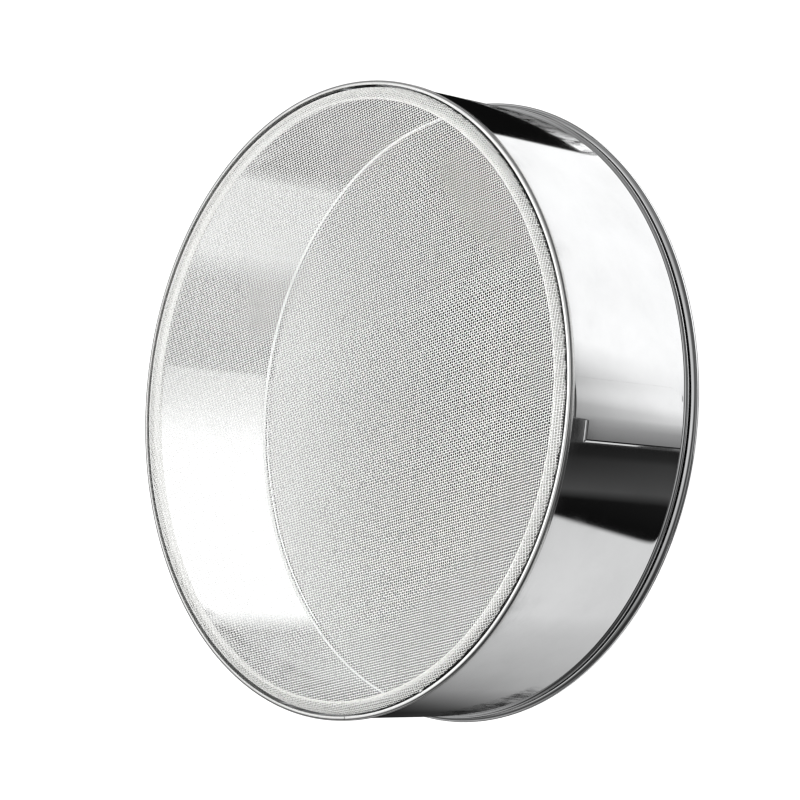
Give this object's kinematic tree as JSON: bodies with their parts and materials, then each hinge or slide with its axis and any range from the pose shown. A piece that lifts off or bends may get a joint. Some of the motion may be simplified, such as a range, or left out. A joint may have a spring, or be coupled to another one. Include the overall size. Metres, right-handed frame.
{
  "type": "soil sieve",
  "caption": "Round hand sieve: polished steel hoop with a rolled open rim and a woven wire cloth stretched over a tension ring at the other end.",
  "frame": {"origin": "centre of the circle on which the open rolled rim stands", "axes": "+Z along the hoop axis from the open rim to the mesh, -Y towards the viewer of the picture, 3 degrees from the lap seam"},
  "size_m": [0.3038, 0.3038, 0.085],
  "materials": {
    "hoop_steel": "mirror polished stainless sheet",
    "core_wire": "drawn wire",
    "ring_steel": "polished stainless",
    "tension_steel": "satin stainless",
    "wire_cloth": "bright drawn stainless wire, plain weave"
  },
  "bodies": {
    "root": {"hoop": "hoop_steel", "rim_core_wire": "core_wire", "retaining_ring": "ring_steel", "tension_ring": "tension_steel", "mesh_cloth": "wire_cloth"}
  },
  "joints": []
}
